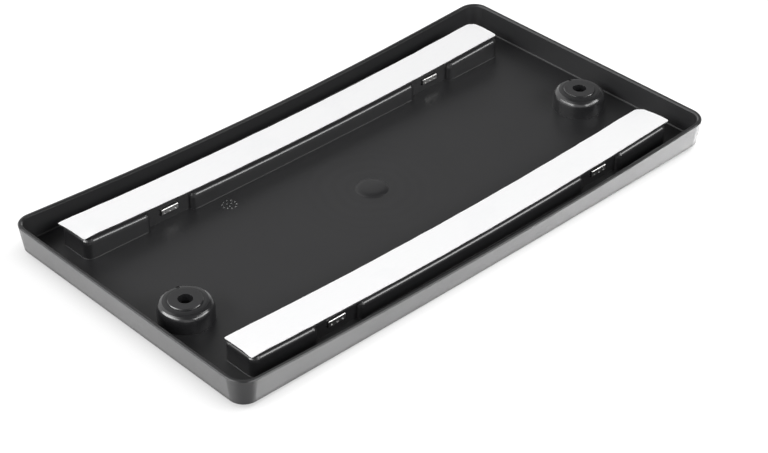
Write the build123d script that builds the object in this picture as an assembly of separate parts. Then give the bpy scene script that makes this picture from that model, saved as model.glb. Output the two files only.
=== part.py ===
from build123d import *
import math
import os

# Hole pattern of a 12 x 6 inch plate, millimetres; origin under its middle, bumper side up
hole_pitch_x = 177.8
hole_pitch_y = 120.65

# Moulded tray
end_margin = 69.1  # holes to the outside of the rim
side_margin = 24.8
rim_middle = 11.85  # rim above the plate side at mid-length
bumper_radius = 2460.0  # arc that the rim and the rails follow
plate_radius = 7600.0  # slight bow of the plate side and the floor
corner = 10.0
wall_draft = 8.0
wall = 2.3
floor = 2.5
rim_bevel = 0.6
base_bevel = 1.0  # lower outer edge
foot_bevel = 0.5  # wall to floor, inside

# Rails that carry the tape
rail_gap = 18.0  # rail end to the outside of the rim
rail_width = 21.5
rail_near = 12.5  # hole line to the notched side
rail_drop = 0.85  # below the rim
rail_corner = 4.0
rail_round = 2.6
rail_foot = 0.3  # bevel where it leaves the floor
rail_wall = 2.2
web = 1.8
inner_bays = 3  # bays between the clip nuts
notch_length = 25.0
notch_depth = 2.85
notch_round = 3.0  # post at either end of a notch
post_steps = 3  # facets of its rounded edge

# Clip nuts and the tongues they grip
nut_width = 10.0
nut_sheet = 0.8
nut_bend = 0.7  # outer radius of the fold
nut_gap = 0.3  # fold to the tongue's edge
nut_tail = 6.0  # legs past the hole
nut_raise = 4.0  # lower leg above the floor
nut_bore = 2.5
nut_entry = 3.3
nut_collar = 4.0
nut_collar_height = 1.5
nut_ribs = 3
nut_rib_width = 0.9
nut_rib_depth = 0.25
tongue = 1.8
tunnel_side = 1.25
tunnel_clear = 0.5
tunnel_wall = 2.0
screw_clear = 3.5
sleeve_wall = 3.0

# Bosses for the bumper screws
boss_inset = 24.6  # boss to the outside of the rim
boss_y = -17.4
boss_radius = 13.6
boss_height = 10.8  # disc above the floor
boss_round = 4.0
boss_steps = 5  # facets of its rounded edge
boss_hole = 3.6
boss_core = 10.0  # recess for the screw head
boss_seat = 4.0
disc_radius = 8.3
disc_height = 0.7
disc_bevel = 0.3
pip_reach = 10.7
pip_turn = -20.0
pip_length = 2.4
pip_width = 1.6
pip_depth = 1.0

# Gate mark on the floor
gate_x = 1.7
gate_y = 2.9
gate_radius = 7.5
gate_height = 0.6
gate_bevel = 0.5

# Double-sided tape with its liner
tape_width = 18.8
tape_back_shift = 0.8
tape_front_shift = -0.1
foam = 1.0
liner = 0.25

# Derived sizes
spare = 4.0  # how far the cutting shapes overshoot
surface_gap = 0.01
length = hole_pitch_x + 2 * end_margin
width = hole_pitch_y + 2 * side_margin
rail_length = length - 2 * rail_gap
boss_x = length / 2 - boss_inset
reach = length / 2 + spare
hole_x = hole_pitch_x / 2
hole_y = hole_pitch_y / 2
rail_shift = rail_width / 2 - rail_near
notch_line = notch_depth - rail_near  # notch wall, from the hole line
nut_half = tongue / 2 + nut_sheet
tunnel_half = nut_half + tunnel_clear
tunnel_width = nut_width + 2 * tunnel_side
low_middle = (Align.CENTER, Align.CENTER, Align.MIN)
from_mouth = (Align.CENTER, Align.MIN, Align.CENTER)


def rise(radius, x):
    return radius - math.sqrt(radius**2 - x**2)


def floor_at(x):
    return floor + rise(plate_radius, x)


def arc(radius, middle):
    end = middle + rise(radius, reach)
    return ThreePointArc((-reach, end), (0, middle), (reach, end))


# Everything between two arcs that run along the length
def slab(lower, upper):
    ends = [Line(lower @ 0, upper @ 0), Line(lower @ 1, upper @ 1)]
    return extrude(Plane.XZ * make_face([lower, upper] + ends), amount=reach, both=True)


# Rounded box with drafted sides, inset from the outside of the rim
def drafted_box(inset):
    flare = spare * math.tan(math.radians(wall_draft)) - inset
    top = Plane((0, 0, rim_end + spare), x_dir=(1, 0, 0), z_dir=(0, 0, -1))
    outline = RectangleRounded(length + 2 * flare, width + 2 * flare, corner + flare)
    return extrude(top * outline, amount=rim_end + 2 * spare, taper=wall_draft)


def pillar(radius, low, high):
    return Pos(0, 0, low) * extrude(Circle(radius), amount=high - low)


def follows(edge, radius, middle):
    spots = [edge.position_at(0), edge.position_at(1 / 2), edge.position_at(1)]
    return all(abs(spot.Z - middle - rise(radius, spot.X)) < surface_gap for spot in spots)


def on_floor(edge):
    return follows(edge, plate_radius, floor)


def on_rim(face):
    return all(follows(edge, bumper_radius, rim_middle) for edge in face.edges())


def by_rail(edge):
    spot = edge.bounding_box().center()
    return abs(spot.X) < rail_length / 2 + web and abs(abs(spot.Y) - hole_y) < rail_near + web


def rail_block(along, across):
    block = extrude(Rectangle(along, across), amount=rim_end)
    return block & slab(inside_floor, arc(bumper_radius, rail_middle))


# Round post with a rounded upper edge
def post(radius, low, high, rounding, steps):
    turns = [math.radians(90 * step / steps) for step in range(steps + 1)]
    middle = (radius - rounding, high - rounding)
    edge = [(middle[0] + rounding * math.cos(turn), middle[1] + rounding * math.sin(turn)) for turn in turns]
    outline = make_face(Polyline((0, low), (radius, low), *edge, (0, high), (0, low)))
    return revolve(Plane.XZ * outline, Axis.Z)


# Round corner of a rail at a place along the length
def rail_post(radius, x):
    top = rail_middle + rise(bumper_radius, abs(x) - radius)
    return Pos(x, 0) * post(radius, floor_at(x) - floor / 2, top, rail_round, post_steps)


def strip(shift, low, high):
    outline = Pos(0, rail_shift + shift) * Rectangle(rail_length, tape_width)
    return extrude(outline, amount=reach) & slab(arc(bumper_radius, low), arc(bumper_radius, high))


rim_end = rim_middle + rise(bumper_radius, length / 2)
rail_middle = rim_middle - rail_drop
nut_middle = floor_at(hole_x) + nut_raise + nut_half
boss_top = floor_at(boss_x) + boss_height
sky = arc(bumper_radius, rim_middle + spare)
floor_side = arc(plate_radius, floor)
inside_floor = arc(plate_radius, floor / 2)
holes = GridLocations(hole_pitch_x, hole_pitch_y, 2, 2).locations
front, back = GridLocations(0, hole_pitch_y, 1, 2).locations
bosses = [Pos(-boss_x, boss_y), Pos(boss_x, boss_y)]

# Rim wall and floor
body = drafted_box(0) & slab(arc(plate_radius, 0), arc(bumper_radius, rim_middle))
body = chamfer(body.faces().sort_by(Axis.Z)[0].edges(), base_bevel)
body = chamfer(body.faces().sort_by(Axis.Z)[-1].edges(), rim_bevel)
cavity = drafted_box(wall) & slab(floor_side, sky)
cavity = chamfer(cavity.faces().sort_by(Axis.Z)[0].edges(), foot_bevel)
tray = body - cavity
tray = chamfer(tray.faces().filter_by(on_rim)[0].inner_wires()[0].edges(), rim_bevel)

# Rails: two crossing blocks and a post in each corner, with a bevelled foot
rail = rail_block(rail_length - 2 * rail_corner, rail_width)
long_edges = rail.faces().sort_by(Axis.Z)[-1].edges().sort_by(Axis.Y)
rail = fillet([long_edges[0], long_edges[-1]], rail_round)
ends = rail_block(rail_length, rail_width - 2 * rail_corner)
end_edges = ends.edges().filter_by(Axis.Y).group_by(Axis.Z)[-1]
rail += fillet(end_edges, rail_round)
for x in (rail_corner - rail_length / 2, rail_length / 2 - rail_corner):
    for y in (rail_corner - rail_width / 2, rail_width / 2 - rail_corner):
        rail += Pos(0, y) * rail_post(rail_corner, x)
rail = Pos(0, rail_shift) * rail
tray += [front * rail, back * rail]
tray = chamfer(tray.edges().filter_by(on_floor).filter_by(by_rail), rail_foot)

# Notches in the rails for the clip nuts, with a post at either end
notch = extrude(Rectangle(notch_length + 2 * notch_round, 2 * (notch_depth + rail_foot)), amount=rim_end)
above_floor = slab(floor_side, sky)
for place in holes:
    tray -= (place * Pos(0, -rail_near - rail_foot) * notch) & above_floor
for side in (-hole_x, hole_x):
    for end in (-notch_length / 2 - notch_round, notch_length / 2 + notch_round):
        notch_end = Pos(0, notch_round - rail_near) * rail_post(notch_round, side + end)
        tray += [front * notch_end, back * notch_end]

# Cores inside the rails, leaving webs, tunnel housings and screw pillars
core_plan = Rectangle(rail_length - 2 * rail_wall, rail_width - 2 * rail_wall)
notch_core = Rectangle(notch_length + 2 * rail_wall, 2 * notch_depth)
for side in (-hole_x, hole_x):
    core_plan -= Pos(side, rail_wall - rail_width / 2) * notch_core
core = extrude(Pos(0, rail_shift, -spare) * core_plan, amount=reach)
core = core & slab(arc(plate_radius, -spare), arc(bumper_radius, rail_middle - rail_wall))
housing = Box(tunnel_width + 2 * tunnel_wall, 2 * rail_width, rim_end, align=low_middle)
pillar_side = 2 * (screw_clear + sleeve_wall)
for side in (-hole_x, hole_x):
    core -= Pos(side, 0, nut_middle - tunnel_half - tunnel_wall) * housing
    core -= Pos(side, 0) * Box(pillar_side, pillar_side, 2 * nut_middle)
web_in = hole_x / inner_bays
web_out = (hole_x + rail_length / 2) / 2
for station in (-web_out, -web_in, web_in, web_out):
    core -= Pos(station, 0) * Box(web, 2 * rail_width, 2 * rim_end)
tray -= [front * core, back * core]

# Tunnel for each clip nut with a tongue across it, open to the screw below and the collar above
mouth = Plane((0, -rail_near, nut_middle), x_dir=(1, 0, 0), z_dir=(0, 1, 0))
tunnel_depth = rail_near + nut_tail + tunnel_clear
tunnel = extrude(mouth * SlotOverall(tunnel_width, 2 * tunnel_half), amount=tunnel_depth)
tunnel -= Pos(0, notch_line, nut_middle) * Box(tunnel_width, tunnel_depth, tongue, align=from_mouth)
tongue_top = nut_middle + tongue / 2
tunnel += pillar(screw_clear, -spare, tongue_top)
collar_room = 2 * (nut_collar + tunnel_clear)
tunnel += Pos(0, 0, tongue_top) * Box(collar_room, collar_room, rim_end, align=low_middle)
tray -= [place * tunnel for place in holes]

# Bosses with a raised disc, hollow from the plate side
ring_top = boss_top - disc_height
ring = post(boss_radius, 0, ring_top, boss_round, boss_steps)
disc = pillar(disc_radius, floor, boss_top)
disc = chamfer(disc.edges().sort_by(Axis.Z)[-1], disc_bevel)
pip = Box(pip_width, pip_length, spare, align=low_middle)
boss = ring + disc - Rot(0, 0, pip_turn) * Pos(0, pip_reach, ring_top - pip_depth) * pip
for place in bosses:
    tray += (place * boss) & slab(inside_floor, sky)
for place in bosses:
    tray -= place * pillar(boss_hole, 0, rim_end)
    tray -= place * pillar(boss_core, -spare, boss_top - boss_seat)

# Round gate mark with a sloped edge
gate = pillar(gate_radius, floor / 2, floor + gate_height)
tray += Pos(gate_x, gate_y) * chamfer(gate.edges().sort_by(Axis.Z)[-1], gate_bevel)

# Tape and liner strips
foam_top = rail_middle + foam
foam_tape_back = back * strip(tape_back_shift, rail_middle, foam_top)
foam_tape_front = front * strip(tape_front_shift, rail_middle, foam_top)
liner_back = back * strip(tape_back_shift, foam_top, foam_top + liner)
liner_front = front * strip(tape_front_shift, foam_top, foam_top + liner)

# Clip nut, a strip folded round the tongue with a threaded collar on its upper leg
fold = notch_line - nut_gap - nut_sheet
nut_length = nut_tail - fold
nut = Pos(0, fold, nut_middle) * Box(nut_width, nut_length, 2 * nut_half, align=from_mouth)
nut = fillet(nut.edges().filter_by(Axis.X).group_by(Axis.Y)[0], nut_bend)
nut -= Pos(0, fold + nut_sheet, nut_middle) * Box(nut_width, nut_length, tongue, align=from_mouth)
nut += pillar(nut_collar, tongue_top, nut_middle + nut_half + nut_collar_height)
nut -= pillar(nut_bore, nut_middle, rim_end)
nut -= pillar(nut_entry, 0, nut_middle)
for place in GridLocations(nut_width / nut_ribs, 0, nut_ribs, 1):
    nut -= place * Pos(0, fold, nut_middle) * Box(nut_rib_width, 2 * nut_rib_depth, tongue)
clip_nuts = Compound([(place * nut).solid() for place in holes])

os.makedirs("parts", exist_ok=True)
export_step(tray, "parts/tray.step")
export_step(foam_tape_back, "parts/foam_tape_back.step")
export_step(foam_tape_front, "parts/foam_tape_front.step")
export_step(liner_back, "parts/liner_back.step")
export_step(liner_front, "parts/liner_front.step")
export_step(clip_nuts, "parts/clip_nuts.step")
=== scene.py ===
import bpy
import math
from mathutils import Matrix, Vector


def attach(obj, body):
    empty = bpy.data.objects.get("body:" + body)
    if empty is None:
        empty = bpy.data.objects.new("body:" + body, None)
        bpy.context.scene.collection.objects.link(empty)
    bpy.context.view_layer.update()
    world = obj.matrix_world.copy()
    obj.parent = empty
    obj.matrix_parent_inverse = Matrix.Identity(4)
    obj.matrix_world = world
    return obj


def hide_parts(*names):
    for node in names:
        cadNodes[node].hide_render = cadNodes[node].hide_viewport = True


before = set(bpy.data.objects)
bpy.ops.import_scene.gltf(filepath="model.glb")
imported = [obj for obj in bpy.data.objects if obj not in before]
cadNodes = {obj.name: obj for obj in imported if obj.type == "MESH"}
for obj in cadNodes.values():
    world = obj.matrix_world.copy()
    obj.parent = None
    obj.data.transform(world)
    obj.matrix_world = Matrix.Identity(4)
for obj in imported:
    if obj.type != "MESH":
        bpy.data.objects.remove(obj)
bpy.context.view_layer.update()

print("frame loaded:", ", ".join(sorted(cadNodes)))


class Wire:  # a socket that does sums, in shader and geometry trees alike
    def __init__(self, tree, socket=None):
        self.tree = tree
        self.socket = socket

    def node(self, kind, settings=None, values=None, out=0):
        made = self.tree.nodes.new(kind)
        for name, value in (settings or {}).items():  # first, because they can change the sockets
            setattr(made, name, value)
        for key, value in (values or {}).items():
            if isinstance(value, Wire):
                self.tree.links.new(value.socket, made.inputs[key])
            else:
                made.inputs[key].default_value = value
        return Wire(self.tree, made.outputs[out] if len(made.outputs) else None)

    def pick(self, name):  # another output of the same node
        return Wire(self.tree, self.socket.node.outputs[name])

    def sum(self, operation, first, second=0.0):
        return self.node("ShaderNodeMath", {"operation": operation}, {0: first, 1: second})

    def __add__(self, other):
        return self.sum("ADD", self, other)

    def __radd__(self, other):
        return self.sum("ADD", other, self)

    def __sub__(self, other):
        return self.sum("SUBTRACT", self, other)

    def __rsub__(self, other):
        return self.sum("SUBTRACT", other, self)

    def __mul__(self, other):
        return self.sum("MULTIPLY", self, other)

    def __rmul__(self, other):
        return self.sum("MULTIPLY", other, self)

    def __truediv__(self, other):
        return self.sum("DIVIDE", self, other)

    def __pow__(self, other):
        return self.sum("POWER", self, other)

    def __gt__(self, other):
        return self.sum("GREATER_THAN", self, other)

    def __abs__(self):
        return self.sum("ABSOLUTE", self)

    def sign(self):
        return self.sum("SIGN", self)

    def sine(self):
        return self.sum("SINE", self)

    def root(self):
        return self.sum("SQRT", self)

    def atLeast(self, other):
        return self.sum("MAXIMUM", self, other)

    def atMost(self, other):
        return self.sum("MINIMUM", self, other)

    def between(self, low, high):  # smooth step from 0 at low to 1 at high
        settings = {"interpolation_type": "SMOOTHSTEP"}
        return self.node("ShaderNodeMapRange", settings, {"Value": self, "From Min": low, "From Max": high})

    def toward(self, other, share):
        return self + (other - self) * share

    def noise(self, place, scale, detail, settings=None):
        return self.node("ShaderNodeTexNoise", settings, {"Vector": place, "Scale": scale, "Detail": detail})

    def tint(self, share, first, second):  # from one colour to another
        return self.node("ShaderNodeMix", {"data_type": "RGBA"}, {"Factor": share, "A": first, "B": second}, 2)


def newMaterial(name):
    material = bpy.data.materials.new(name)
    material.use_nodes = True
    material.node_tree.nodes.clear()
    return material, Wire(material.node_tree)


def finishMaterial(wire, shader):
    wire.node("ShaderNodeOutputMaterial", None, {"Surface": shader})


def newTree(name, inputs):
    tree = bpy.data.node_groups.new(name, "GeometryNodeTree")
    tree.interface.new_socket("Geometry", in_out="OUTPUT", socket_type="NodeSocketGeometry")
    for label, kind in inputs.items():
        tree.interface.new_socket(label, in_out="INPUT", socket_type="NodeSocket" + kind)
    entry = Wire(tree, tree.nodes.new("NodeGroupInput").outputs[0])
    return tree, Wire(tree), {label: entry.pick(label) for label in inputs}


def finishTree(wire, geometry, finish):
    whole = wire.node("GeometryNodeRealizeInstances", None, {"Geometry": geometry})
    coated = wire.node("GeometryNodeSetMaterial", None, {"Geometry": whole, "Material": finish})
    wire.node("NodeGroupOutput", None, {0: coated})


def growPiece(name, tree, values, replaced=()):
    holder = bpy.data.objects.new(name + ".holder", bpy.data.meshes.new(name + ".holder"))
    bpy.context.scene.collection.objects.link(holder)
    modifier = holder.modifiers.new("grow", "NODES")
    modifier.node_group = tree
    for item in tree.interface.items_tree:
        if item.in_out == "INPUT":
            modifier[item.identifier] = values[item.name]
    bpy.context.view_layer.update()
    depsgraph = bpy.context.evaluated_depsgraph_get()
    mesh = bpy.data.meshes.new_from_object(holder.evaluated_get(depsgraph))
    mesh.name = name
    holder.modifiers.remove(modifier)
    bpy.data.objects.remove(holder)
    piece = bpy.data.objects.new(name, mesh)
    bpy.context.scene.collection.objects.link(piece)
    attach(piece, "root")
    if replaced:
        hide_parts(*replaced)
    print("piece", name, len(mesh.polygons), "faces")


# camera where the photograph was taken
view = {
    "azimuth": -43.688,
    "elevation": 35.365,
    "roll": 0.273,
    "distance": 1.0002,
    "target": (-0.01615, -0.025136, 0.001699),
    "lens": 96.09,
    "sensor": 36.0,
    "clipStart": 0.01,
}


def wayTo(azimuth, elevation):  # from the object, in degrees, azimuth from -Y
    turn, lift = math.radians(azimuth), math.radians(elevation)
    return Vector((math.sin(turn) * math.cos(lift), -math.cos(turn) * math.cos(lift), math.sin(lift)))


def placeCamera():
    turn, roll = math.radians(view["azimuth"]), math.radians(view["roll"])
    back = wayTo(view["azimuth"], view["elevation"])
    right = Vector((math.cos(turn), math.sin(turn), 0))
    up = back.cross(right)
    rolledRight = right * math.cos(roll) + up * math.sin(roll)
    rolledUp = up * math.cos(roll) - right * math.sin(roll)
    camera = bpy.data.objects.new("camera", bpy.data.cameras.new("camera"))
    camera.data.lens = view["lens"]
    camera.data.sensor_width = view["sensor"]
    camera.data.sensor_fit = "HORIZONTAL"
    camera.data.clip_start = view["clipStart"]
    axes = Matrix((rolledRight, rolledUp, back)).transposed().to_4x4()
    camera.matrix_world = Matrix.Translation(Vector(view["target"]) + back * view["distance"]) @ axes
    bpy.context.scene.collection.objects.link(camera)
    bpy.context.scene.camera = camera


placeCamera()
bpy.context.scene.view_settings.view_transform = "Standard"

# white table with a polish that mirrors the lamps on to the rim, and a thin shadow where the tray stands
table = {
    "half": 4.0,
    "polish": (0.4, 0.4, 0.4, 1), "polishRough": 0.12,
    "lit": (0.2, 0.2, 0.2, 1), "glow": 0.8,
    "contact": 0.009, "contactShare": 0.42,  # the shadow that the camera sees
    "under": 0.025,  # reach of the dark under the tray, as reflections show it
    "shadowSamples": 8,
}


def layTable():
    mesh = bpy.data.meshes.new("tableTop")
    half = table["half"]
    corners = [(-half, -half, 0), (half, -half, 0), (half, half, 0), (-half, half, 0)]
    mesh.from_pydata(corners, [], [(0, 1, 2, 3)])
    top = bpy.data.objects.new("tableTop", mesh)
    bpy.context.scene.collection.objects.link(top)
    material, wire = newMaterial("tableWhite")

    def openWithin(reach):
        settings = {"samples": table["shadowSamples"]}
        return wire.node("ShaderNodeAmbientOcclusion", settings, {"Distance": reach}, "AO")

    ray = wire.node("ShaderNodeLightPath", out="Is Camera Ray")
    direct = ray.atLeast(ray.pick("Is Transmission Ray"))
    mirrored = ray.pick("Is Glossy Ray")
    shadow = 1 - table["contactShare"] * (1 - openWithin(table["contact"]))
    bright = shadow.toward(openWithin(table["under"]), mirrored) * table["glow"]
    glow = wire.node("ShaderNodeEmission", None, {"Color": bright})
    lit = wire.node("ShaderNodeBsdfDiffuse", None, {"Color": table["lit"]})
    white = wire.node("ShaderNodeAddShader", None, {0: lit, 1: glow})
    polish = wire.node("ShaderNodeBsdfPrincipled", None, {
        "Base Color": table["polish"], "Roughness": table["polishRough"], "Metallic": 1.0,
    })
    background = wire.node("ShaderNodeMixShader", None, {0: direct.atLeast(mirrored), 2: white})
    mirror = wire.node("ShaderNodeMixShader", None, {0: direct, 1: polish})
    finishMaterial(wire, wire.node("ShaderNodeAddShader", None, {0: background, 1: mirror}))
    mesh.materials.append(material)
    return top


tableTop = layTable()
print("camera and table in place")

# two wide softboxes beside the camera, and three cards that only the table sees and mirrors
softboxes = {
    "left": {"turn": 62, "lift": 34, "away": 1.5, "size": (1.8, 0.42), "radiance": 8.0},
    "right": {"turn": -64, "lift": 32, "away": 1.5, "size": (1.7, 0.45), "radiance": 8.0},
    "leftCard": {"turn": 114, "lift": 48, "away": 1.5, "size": (0.7, 0.5), "radiance": 3.4},
    "rightCard": {"turn": -89, "lift": 53, "away": 1.5, "size": (0.65, 0.4), "radiance": 11.8},
    "backCard": {"turn": -125, "lift": 41, "away": 1.5, "size": (0.8, 0.42), "radiance": 20.5},
}
tableOnly = bpy.data.collections.new("tableOnly")
tableOnly.objects.link(tableTop)


def hangSoftbox(name, box):
    toward = wayTo(view["azimuth"] - box["turn"], box["lift"])
    lamp = bpy.data.lights.new("softbox." + name, "AREA")
    lamp.shape = "RECTANGLE"
    lamp.size, lamp.size_y = box["size"]
    lamp.energy = box["radiance"] * math.pi * lamp.size * lamp.size_y
    holder = bpy.data.objects.new("softbox." + name, lamp)
    holder.location = toward * box["away"]
    holder.rotation_euler = toward.to_track_quat("Z", "Y").to_euler()
    bpy.context.scene.collection.objects.link(holder)
    if name.endswith("Card"):
        holder.light_linking.receiver_collection = tableOnly


for boxName, box in softboxes.items():
    hangSoftbox(boxName, box)

# white sweep under a dim ceiling for eye and gloss, a dim studio with a pale horizon for plain light
studio = {
    "seen": 1.0, "shade": 0.09,
    "horizon": 0.75, "fadeFrom": 0.10, "fadeTo": 0.45,
    "backdrop": 0.95, "backTurn": 193.0, "sideFrom": 0.25, "sideTo": 0.6,
    "topFrom": 0.46, "topTo": 0.72, "topTilt": 0.75,  # the ceiling comes lower on the right
}


def paintStudio():
    world = bpy.data.worlds.new("studio")
    world.use_nodes = True
    world.node_tree.nodes.clear()
    wire = Wire(world.node_tree)
    x = wire.node("ShaderNodeSeparateXYZ", None, {0: wire.node("ShaderNodeTexCoord", out="Object")})
    y, z = x.pick("Y"), x.pick("Z")
    back, side = math.radians(studio["backTurn"]), math.radians(view["azimuth"])
    horizon = studio["horizon"] * (1 - abs(z).between(studio["fadeFrom"], studio["fadeTo"]))
    behind = (x * math.sin(back) - y * math.cos(back)).between(studio["sideFrom"], studio["sideTo"])
    backdrop = behind * (1 - z.between(studio["topFrom"], studio["topTo"])) * studio["backdrop"]
    dim = horizon.atLeast(backdrop) + studio["shade"]
    aside = x * math.cos(side) + y * math.sin(side)
    ceiling = (z + aside * studio["topTilt"]).between(studio["topFrom"], studio["topTo"])
    bright = studio["seen"] + ceiling * (studio["shade"] - studio["seen"])
    plain = wire.node("ShaderNodeBackground", None, {"Color": dim})
    white = wire.node("ShaderNodeBackground", None, {"Color": bright})
    ray = wire.node("ShaderNodeLightPath", out="Is Camera Ray")
    seen = ray.atLeast(ray.pick("Is Glossy Ray")).atLeast(ray.pick("Is Transmission Ray"))
    both = wire.node("ShaderNodeMixShader", None, {0: seen, 1: plain, 2: white})
    wire.node("ShaderNodeOutputWorld", None, {"Surface": both})
    bpy.context.scene.world = world


paintStudio()
print("lights hung:", len(softboxes))

# black plastic: grained floor and inner walls, smoother elsewhere, softened edges, flow marks round the gate
plastic = {
    "colour": (0.0165, 0.0165, 0.0175, 1),
    "scuffed": (0.032, 0.032, 0.033, 1),
    "wallColourPaintedBounce": (0.022, 0.022, 0.023, 1),  # inner sides of the rim, lighter: painted bounce light
    "rough": 0.43, "smooth": 0.36, "specular": 0.4,  # rough where grained
    "coat": 0.9, "outerCoat": 0.05, "coatRough": 0.22,  # gloss of the rails and bosses, outside of the rim
    "floor": 0.0025, "bow": 7.6, "lowFrom": 0.00025, "lowTo": 0.00045,  # floor height and bow, as in the CAD
    "innerX": 0.149, "innerY": 0.0765,  # where the rim starts
    "levelFrom": 0.9, "steepTo": 0.5,  # how far a face turns up
    "edge": 0.0003, "edgeSamples": 6, "edgeFrom": 0.004, "edgeTo": 0.16,
    "grainScale": 2600.0, "grainDepth": 0.000012, "grainStrength": 0.5,
    "cloudScale": 34.0, "cloudRough": 0.09, "mistScale": 420.0, "mistRough": 0.06,
    "gate": (0.0014, 0.0023, 0.0025), "gateReach": 0.0088,
    "rippleScale": 900, "swirlScale": 60.0, "swirlShare": 6,
    "flowFrom": 0.008, "flowTo": 0.06, "flowRough": 0.02,
    "scratchTurn": (0, 0, 0.5), "scratchScale": (60, 2600, 800), "scratchFrom": 0.70, "scratchTo": 0.80,
    "patchFrom": 0.48, "patchTo": 0.66,  # where scratches gather
    "scuffRough": 0.12, "edgeSmooth": 0.05, "scuffWear": 0.5, "edgeWear": 0.22, "mistWear": 0.35,
    "bossX": 0.1334, "bossY": -0.0174, "bossTop": 0.0096, "bossRound": 0.004, "bossReach": 0.0145,
    "bossRough": 0.18, "mostLean": 0.999,
}
tiny = 0.000001  # keeps divisions off zero


def plasticMaterial(name, grainShare):
    look = plastic
    material, wire = newMaterial(name)
    place = wire.node("ShaderNodeTexCoord", out="Object")
    x = wire.node("ShaderNodeSeparateXYZ", None, {0: place})
    y = x.pick("Y")
    sharp = wire.node("ShaderNodeNewGeometry", out="Normal")
    facingX = wire.node("ShaderNodeSeparateXYZ", None, {0: sharp})
    facingY, facingUp = facingX.pick("Y"), abs(facingX.pick("Z"))
    soft = wire.node("ShaderNodeBevel", {"samples": look["edgeSamples"]}, {"Radius": look["edge"]})
    same = wire.node("ShaderNodeVectorMath", {"operation": "DOT_PRODUCT"}, {0: soft, 1: sharp}, "Value")
    edge = (1 - same).between(look["edgeFrom"], look["edgeTo"])

    level = facingUp > look["levelFrom"]
    steep = 1 - (facingUp > look["steepTo"])
    height = x.pick("Z") - look["floor"] - x * x / (2 * look["bow"])
    low = 1 - height.between(look["lowFrom"], look["lowTo"])
    byWall = (abs(x) > look["innerX"]).atLeast(abs(y) > look["innerY"])
    inward = 1 - (x * facingX + y * facingY > 0.0)
    gateSpan = {0: place, 1: look["gate"]}
    fromGate = wire.node("ShaderNodeVectorMath", {"operation": "DISTANCE"}, gateSpan, "Value")
    onGate = look["gateReach"] - fromGate > 0.0
    onRim = byWall * (inward * steep).atLeast(level)
    grained = low.atLeast(onRim).atLeast(onGate) * grainShare

    cloud = wire.noise(place, look["cloudScale"], 3.0)
    mist = wire.noise(place, look["mistScale"], 2.0)
    grain = wire.noise(place, look["grainScale"], 2.0)
    swirl = wire.noise(place, look["swirlScale"], 1.0)
    ripple = (fromGate * look["rippleScale"] + swirl * look["swirlShare"]).sine()
    flow = ripple * (1 - fromGate.between(look["flowFrom"], look["flowTo"])) * look["flowRough"]
    stretched = wire.node("ShaderNodeMapping", None, {
        "Vector": place, "Rotation": look["scratchTurn"], "Scale": look["scratchScale"],
    })
    scratch = wire.noise(stretched, 1.0, 1.0).between(look["scratchFrom"], look["scratchTo"])
    scuff = scratch * cloud.between(look["patchFrom"], look["patchTo"])

    bossX, bossY = x - x.sign() * look["bossX"], y - look["bossY"]
    fromBoss = (bossX * bossX + bossY * bossY).root().atLeast(tiny)
    boss = (look["bossReach"] - fromBoss > 0.0) * (1 - grained) * (1 - level)
    lean = ((fromBoss - look["bossTop"]) / look["bossRound"]).atLeast(0.0).atMost(look["mostLean"])
    bowl = wire.node("ShaderNodeCombineXYZ", None, {  # true normal of the boss's round edge
        0: bossX / fromBoss * lean, 1: bossY / fromBoss * lean, 2: (1 - lean * lean).root(),
    })
    onRound = boss * (fromBoss > look["bossTop"])
    turned = wire.node("ShaderNodeMix", {"data_type": "VECTOR"}, {"Factor": onRound, "A": soft, "B": bowl}, 1)

    rough = look["smooth"] + grained * (look["rough"] - look["smooth"])
    rough = rough + (cloud - 0.5) * look["cloudRough"] + (mist - 0.5) * look["mistRough"] + flow
    rough = rough + scuff * look["scuffRough"] - edge * look["edgeSmooth"]
    worn = scuff * look["scuffWear"] + edge * look["edgeWear"] + (mist - 0.5).atLeast(0.0) * look["mistWear"]
    colour = wire.tint(worn.atMost(1.0), look["colour"], look["scuffed"])
    # painted light: the rim's inner sides get a lighter colour that stands in for light bounced on to them
    colour = wire.tint(byWall * inward * steep, colour, look["wallColourPaintedBounce"])
    bump = wire.node("ShaderNodeBump", None, {
        "Strength": look["grainStrength"], "Distance": look["grainDepth"], "Height": grain, "Normal": turned,
    })
    coat = look["coat"] + byWall * (1 - inward) * (look["outerCoat"] - look["coat"])
    finishMaterial(wire, wire.node("ShaderNodeBsdfPrincipled", None, {
        "Base Color": colour, "Roughness": rough.toward(look["bossRough"], boss), "Normal": bump,
        "Specular IOR Level": look["specular"],
        "Coat Weight": (1 - grained.atLeast(level)) * coat, "Coat Roughness": look["coatRough"],
    }))
    return material


# black closed-cell foam with open cells on its cut edges
foamLook = {
    "colour": (0.018, 0.018, 0.019, 1), "cell": (0.05, 0.05, 0.052, 1),
    "cellScale": 3200.0, "wallFrom": 0.35, "wallTo": 0.7, "wallShare": 0.6, "dustScale": 260.0,
    "rough": 0.75, "wallRough": 0.15, "specular": 0.3, "cellDepth": 0.00008, "cellStrength": 0.7,
}


def foamMaterial():
    look = foamLook
    material, wire = newMaterial("blackFoam")
    place = wire.node("ShaderNodeTexCoord", out="Object")
    cells = wire.node("ShaderNodeTexVoronoi", None, {"Vector": place, "Scale": look["cellScale"]})
    dust = wire.noise(place, look["dustScale"], 3.0)
    wall = cells.between(look["wallFrom"], look["wallTo"])
    shade = (wall * look["wallShare"] + (dust - 0.5).atLeast(0.0)).atMost(1.0)
    bump = wire.node("ShaderNodeBump", None, {
        "Strength": look["cellStrength"], "Distance": look["cellDepth"], "Height": cells,
    })
    finishMaterial(wire, wire.node("ShaderNodeBsdfPrincipled", None, {
        "Base Color": wire.tint(shade, look["colour"], look["cell"]),
        "Roughness": look["rough"] + wall * look["wallRough"],
        "Normal": bump, "Specular IOR Level": look["specular"],
    }))
    return material


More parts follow.
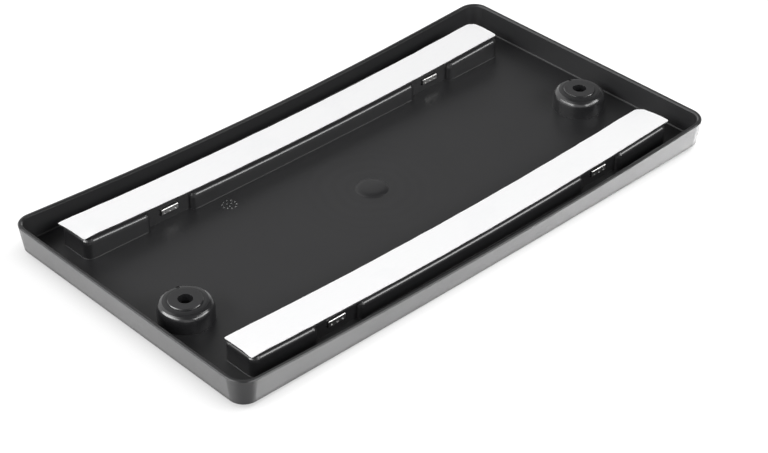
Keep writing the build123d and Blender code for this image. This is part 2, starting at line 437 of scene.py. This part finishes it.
# white coated paper with faint fibres and handling marks
paperLook = {
    "colour": (0.95, 0.95, 0.955, 1), "grey": (0.885, 0.89, 0.9, 1),
    "fibreScale": (240, 1500, 900), "fibreFrom": 0.45, "fibreTo": 0.8, "fibreMark": 0.35, "fibreDepth": 0.2,
    "cloudScale": 45.0, "cloudFrom": 0.5, "cloudTo": 0.75, "cloudMark": 0.3, "pressScale": 130.0,
    "rough": 0.5, "cloudRough": 0.2, "specular": 0.35, "depth": 0.00012, "strength": 0.25,
}


def paperMaterial():
    look = paperLook
    material, wire = newMaterial("linerPaper")
    place = wire.node("ShaderNodeTexCoord", out="Object")
    fibres = wire.node("ShaderNodeMapping", None, {"Vector": place, "Scale": look["fibreScale"]})
    fibre = wire.noise(fibres, 1.0, 4.0)
    cloud = wire.noise(place, look["cloudScale"], 2.0)
    press = wire.noise(place, look["pressScale"], 2.0)
    fibreMark = fibre.between(look["fibreFrom"], look["fibreTo"]) * look["fibreMark"]
    cloudMark = cloud.between(look["cloudFrom"], look["cloudTo"]) * look["cloudMark"]
    bump = wire.node("ShaderNodeBump", None, {
        "Strength": look["strength"], "Distance": look["depth"], "Height": press + fibre * look["fibreDepth"],
    })
    finishMaterial(wire, wire.node("ShaderNodeBsdfPrincipled", None, {
        "Base Color": wire.tint((fibreMark + cloudMark).atMost(1.0), look["colour"], look["grey"]),
        "Roughness": look["rough"] + (cloud - 0.5) * look["cloudRough"],
        "Normal": bump, "Specular IOR Level": look["specular"],
    }))
    return material


# bright zinc plating over rolled strip
zincLook = {
    "colour": (0.72, 0.715, 0.70, 1), "dull": (0.46, 0.46, 0.47, 1), "rough": 0.3, "dullRough": 0.15,
    "lineScale": (5200, 260, 260), "lineFrom": 0.4, "lineTo": 0.8, "lineShare": 0.4,
    "cloudScale": 700.0, "cloudFrom": 0.42, "cloudTo": 0.72, "cloudShare": 0.6,
    "edge": 0.00025, "edgeSamples": 4, "depth": 0.00003, "strength": 0.4,
}


def zincMaterial():
    look = zincLook
    material, wire = newMaterial("zincPlate")
    place = wire.node("ShaderNodeTexCoord", out="Object")
    rolled = wire.node("ShaderNodeMapping", None, {"Vector": place, "Scale": look["lineScale"]})
    lines = wire.noise(rolled, 1.0, 3.0)
    cloud = wire.noise(place, look["cloudScale"], 3.0)
    cloudy = cloud.between(look["cloudFrom"], look["cloudTo"]) * look["cloudShare"]
    lined = lines.between(look["lineFrom"], look["lineTo"]) * look["lineShare"]
    dull = (cloudy + lined).atMost(1.0)
    soft = wire.node("ShaderNodeBevel", {"samples": look["edgeSamples"]}, {"Radius": look["edge"]})
    bump = wire.node("ShaderNodeBump", None, {
        "Strength": look["strength"], "Distance": look["depth"], "Height": lines, "Normal": soft,
    })
    finishMaterial(wire, wire.node("ShaderNodeBsdfPrincipled", None, {
        "Base Color": wire.tint(dull, look["colour"], look["dull"]),
        "Roughness": look["rough"] + dull * look["dullRough"], "Metallic": 1.0, "Normal": bump,
    }))
    return material


blackPlastic = plasticMaterial("blackPlastic", 1.0)
polishedDots = plasticMaterial("polishedDots", 0.0)
blackFoam = foamMaterial()
linerPaper = paperMaterial()
zincPlate = zincMaterial()


def dress(node, material):
    thing = cadNodes[node]
    if not thing.material_slots:
        thing.data.materials.append(material)
    for place in thing.material_slots:
        place.material = material


dress("tray", blackPlastic)
dress("clip_nuts", zincPlate)
print("materials made")

# tape strips on the bowed rails, cut by hand: wavy edges, worn corners that bend down past the rail
tapeSizes = ("Length", "Width", "Thick", "Side", "Base", "Bow", "Wave", "End Wave", "Seed", "Press", "Reach")
tapeCorners = ("Near Left", "Near Right", "Far Left", "Far Right")
tapeInputs = {label: "Float" for label in tapeSizes}
for word in ("Trim", "Drop", "Slip"):  # corner rounding, bend down, and shift of the cut along the rail
    tapeInputs.update({word + " " + corner: "Float" for corner in tapeCorners})
tapeInputs["Finish"] = "Material"
tapeMesh = {
    "along": 241, "across": 21, "through": 3,
    "edgeScale": 70, "endScale": 160, "endSeed": 31, "otherSeed": 9, "endPower": 12,
}


def tapeTree():
    tree, wire, given = newTree("tapeStrip", tapeInputs)
    size = wire.node("ShaderNodeCombineXYZ", None, {0: given["Length"], 1: given["Width"], 2: given["Thick"]})
    slab = wire.node("GeometryNodeMeshCube", None, {
        "Size": size, "Vertices X": tapeMesh["along"], "Vertices Y": tapeMesh["across"],
        "Vertices Z": tapeMesh["through"],
    })
    x = wire.node("ShaderNodeSeparateXYZ", None, {0: wire.node("GeometryNodeInputPosition")})
    y, z = x.pick("Y"), x.pick("Z")
    isRight, isFar = x > 0.0, y > 0.0
    halfLength, halfWidth = given["Length"] / 2, given["Width"] / 2
    acrossX, acrossY = abs(x), abs(y)

    def cornerValue(word, share):
        near = given[word + " Near Left"].toward(given[word + " Near Right"], isRight)
        far = given[word + " Far Left"].toward(given[word + " Far Right"], isRight)
        return near.toward(far, share)

    trim = cornerValue("Trim", isFar)
    slip = cornerValue("Slip", y / given["Width"] + 0.5)
    pastX = (acrossX - halfLength + trim).atLeast(0.0)
    pastY = (acrossY - halfWidth + trim).atLeast(0.0)
    pull = pastX.atLeast(pastY) / (pastX * pastX + pastY * pastY).root().atLeast(tiny)
    inCorner = pastX.atMost(pastY) > 0.0
    pull = 1 + (pull - 1) * inCorner
    roundX = x.sign() * (acrossX - pastX + pastX * pull)
    roundY = y.sign() * (acrossY - pastY + pastY * pull)
    edgeSeed = given["Seed"] + isFar * tapeMesh["otherSeed"]
    endSeed = given["Seed"] + tapeMesh["endSeed"] + isRight * tapeMesh["otherSeed"]
    alongEdge = wire.node("ShaderNodeCombineXYZ", None, {0: x * tapeMesh["edgeScale"], 1: edgeSeed})
    alongEnd = wire.node("ShaderNodeCombineXYZ", None, {0: y * tapeMesh["endScale"], 1: endSeed})
    edgeNoise = wire.noise(alongEdge, 1.0, 2.0, {"noise_dimensions": "2D"})
    endNoise = wire.noise(alongEnd, 1.0, 2.0, {"noise_dimensions": "2D"})
    atEnd = (acrossX / halfLength) ** tapeMesh["endPower"]
    newY = roundY + (edgeNoise - 0.5) * given["Wave"] * acrossY / halfWidth
    newX = roundX + ((endNoise - 0.5) * given["End Wave"] + slip) * atEnd
    toCornerX, toCornerY = halfLength - acrossX, halfWidth - acrossY
    toCorner = (toCornerX * toCornerX + toCornerY * toCornerY).root()
    near = (1 - toCorner / given["Reach"]).atLeast(0.0)
    upper = z / given["Thick"] + 0.5
    drop = cornerValue("Drop", isFar) * near * near * (1 - given["Press"] + given["Press"] * upper)
    rise = newX * newX / (given["Bow"] + (given["Bow"] * given["Bow"] - newX * newX).root())
    height = given["Base"] + given["Thick"] / 2 + z + rise - drop
    spot = wire.node("ShaderNodeCombineXYZ", None, {0: newX, 1: newY + given["Side"], 2: height})
    bent = wire.node("GeometryNodeSetPosition", None, {"Geometry": slab, "Position": spot})
    finishTree(wire, bent, given["Finish"])
    return tree


tape = {
    "Length": 0.280, "Width": 0.0188, "Bow": 2.46, "Reach": 0.011,
    "Trim Near Left": 0.001, "Trim Near Right": 0.001, "Trim Far Left": 0.0005, "Trim Far Right": 0.004,
    "Drop Near Left": 0.0008, "Drop Near Right": 0.0004, "Drop Far Left": 0.0003, "Drop Far Right": 0.0006,
    "Slip Near Left": 0.0, "Slip Near Right": 0.0, "Slip Far Left": 0.0, "Slip Far Right": 0.0,
}
foamStrip = {
    "Thick": 0.001, "Base": 0.011, "Wave": 0.0003, "End Wave": 0.0003, "Press": 1.0, "Finish": blackFoam,
}
linerStrip = {
    "Thick": 0.00025, "Base": 0.012, "Wave": 0.0006, "End Wave": 0.0006, "Press": 0.0, "Finish": linerPaper,
}
backTape = {"Side": 0.059375, "Seed": 3.0, "Slip Far Left": -0.0014}
frontTape = {"Side": -0.062175, "Seed": 14.0, "Slip Near Right": 0.0017}
tapeStrip = tapeTree()
growPiece("foamBack", tapeStrip, {**tape, **foamStrip, **backTape}, ["foam_tape_back"])
growPiece("foamFront", tapeStrip, {**tape, **foamStrip, **frontTape}, ["foam_tape_front"])
growPiece("linerBack", tapeStrip, {**tape, **linerStrip, **backTape}, ["liner_back"])
growPiece("linerFront", tapeStrip, {**tape, **linerStrip, **frontTape}, ["liner_front"])
print("tapes laid")

# threads in the collars of the four clip nuts
threadInputs = {
    "Pitch X": "Float", "Pitch Y": "Float", "Bottom": "Float", "Radius": "Float", "Ridge": "Float",
    "Height": "Float", "Turns": "Float", "Turn Points": "Int", "Ridge Sides": "Int", "Finish": "Material",
}
thread = {
    "Pitch X": 0.1778, "Pitch Y": 0.12065, "Bottom": 0.0099, "Radius": 0.00252, "Ridge": 0.00028,
    "Height": 0.0020, "Turns": 3.0, "Turn Points": 28, "Ridge Sides": 4, "Finish": zincPlate,
}


def threadTree():
    tree, wire, given = newTree("nutThread", threadInputs)
    coil = wire.node("GeometryNodeCurveSpiral", None, {
        "Resolution": given["Turn Points"], "Rotations": given["Turns"], "Start Radius": given["Radius"],
        "End Radius": given["Radius"], "Height": given["Height"],
    })
    ridge = wire.node("GeometryNodeCurvePrimitiveCircle", None, {
        "Resolution": given["Ridge Sides"], "Radius": given["Ridge"],
    })
    swept = wire.node("GeometryNodeCurveToMesh", None, {
        "Curve": coil, "Profile Curve": ridge, "Fill Caps": True,
    })
    grid = wire.node("GeometryNodeMeshGrid", None, {
        "Size X": given["Pitch X"], "Size Y": given["Pitch Y"], "Vertices X": 2, "Vertices Y": 2,
    })
    lift = wire.node("ShaderNodeCombineXYZ", None, {2: given["Bottom"]})
    lifted = wire.node("GeometryNodeTransform", None, {"Geometry": grid, "Translation": lift})
    spread = wire.node("GeometryNodeInstanceOnPoints", None, {"Points": lifted, "Instance": swept})
    finishTree(wire, spread, given["Finish"])
    return tree


growPiece("nutThreads", threadTree(), thread)

# mould date stamp: two rings of low cone dots
dotInputs = {
    "Middle": "Vector", "Outer": "Float", "Outer Dots": "Int", "Inner": "Float", "Inner Dots": "Int",
    "Dot": "Float", "Dot Top": "Float", "Dot Height": "Float", "Dot Sides": "Int", "Finish": "Material",
}
dots = {
    "Middle": (-0.0599, 0.0397, 0.0027), "Outer": 0.0036, "Outer Dots": 10, "Inner": 0.0013, "Inner Dots": 3,
    "Dot": 0.0006, "Dot Top": 0.0001, "Dot Height": 0.00055, "Dot Sides": 16, "Finish": polishedDots,
}


def dotTree():
    tree, wire, given = newTree("dateDots", dotInputs)

    def ring(word):
        values = {"Vertices": given[word + " Dots"], "Radius": given[word]}
        return wire.node("GeometryNodeMeshCircle", None, values)

    spots = wire.node("GeometryNodeJoinGeometry", None, {"Geometry": ring("Outer")})
    tree.links.new(ring("Inner").socket, spots.socket.node.inputs["Geometry"])
    cone = wire.node("GeometryNodeMeshCone", None, {
        "Vertices": given["Dot Sides"], "Radius Top": given["Dot Top"], "Radius Bottom": given["Dot"],
        "Depth": given["Dot Height"],
    })
    sown = wire.node("GeometryNodeInstanceOnPoints", None, {"Points": spots, "Instance": cone})
    moved = wire.node("GeometryNodeTransform", None, {"Geometry": sown, "Translation": given["Middle"]})
    finishTree(wire, moved, given["Finish"])
    return tree


growPiece("dateDots", dotTree(), dots)

# gate button: a pillow over the moulding's gate pillar
gateInputs = {
    "Middle": "Vector", "Radius": "Float", "Dome": "Float", "Rise": "Float", "Squareness": "Float",
    "Rim Points": "Int", "Fineness": "Int", "Finish": "Material",
}
gate = {
    "Middle": plastic["gate"], "Radius": 0.0086, "Dome": 0.0003, "Rise": 0.00088, "Squareness": 8.0,
    "Rim Points": 96, "Fineness": 4, "Finish": blackPlastic,
}


def gateTree():
    tree, wire, given = newTree("gateButton", gateInputs)
    fan = {"fill_type": "TRIANGLE_FAN"}
    disc = wire.node("GeometryNodeMeshCircle", fan, {"Vertices": given["Rim Points"], "Radius": 1.0})
    fine = wire.node("GeometryNodeSubdivideMesh", None, {"Mesh": disc, "Level": given["Fineness"]})
    x = wire.node("ShaderNodeSeparateXYZ", None, {0: wire.node("GeometryNodeInputPosition")})
    y = x.pick("Y")
    reach = (x * x + y * y).root().atMost(1.0)
    height = given["Dome"] * (1 - reach * reach) + given["Rise"] * (1 - reach ** given["Squareness"])
    spot = wire.node("ShaderNodeCombineXYZ", None, {
        0: x * given["Radius"], 1: y * given["Radius"], 2: height,
    })
    domed = wire.node("GeometryNodeSetPosition", None, {"Geometry": fine, "Position": spot})
    smooth = wire.node("GeometryNodeSetShadeSmooth", None, {"Geometry": domed})
    moved = wire.node("GeometryNodeTransform", None, {"Geometry": smooth, "Translation": given["Middle"]})
    finishTree(wire, moved, given["Finish"])
    return tree


growPiece("gateButton", gateTree(), gate)
print("threads, date dots and gate button grown")
